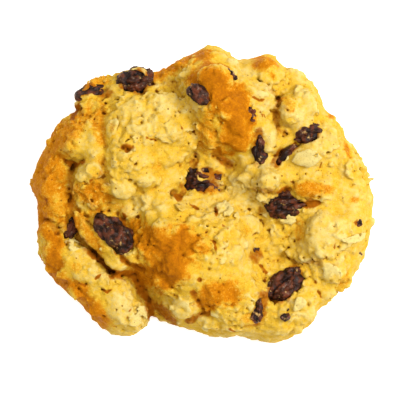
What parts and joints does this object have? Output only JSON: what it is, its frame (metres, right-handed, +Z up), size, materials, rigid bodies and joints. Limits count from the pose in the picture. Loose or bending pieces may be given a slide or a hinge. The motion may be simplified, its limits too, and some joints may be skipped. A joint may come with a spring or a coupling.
{
  "type": "oatmeal raisin cookie",
  "caption": "Round lumpy drop cookie of baked oat dough with raisins sunk in its top and edge, resting on a flat base.",
  "frame": {"origin": "on the flat base, under the middle of the cookie's outline", "axes": "+Z up out of the baked top, +X across the widest way, +Y towards the far edge with the tallest browned crown"},
  "size_m": [0.09, 0.0786, 0.0217],
  "materials": {
    "baked_dough": "matte, grainy golden baked dough with oat flakes",
    "raisin_skin": "satin, wrinkled dark raisin skin"
  },
  "bodies": {
    "root": {"cookie_dough": "baked_dough", "raisin_rim": "raisin_skin", "raisin_edge": "raisin_skin", "raisin_under_crown": "raisin_skin", "raisin_behind_crown": "raisin_skin", "raisin_far": "raisin_skin", "raisin_far_strip": "raisin_skin", "raisin_centre": "raisin_skin", "raisin_right": "raisin_skin", "raisin_left_long": "raisin_skin", "raisin_left_small": "raisin_skin", "raisin_front_large": "raisin_skin", "raisin_front_side": "raisin_skin"}
  },
  "joints": []
}
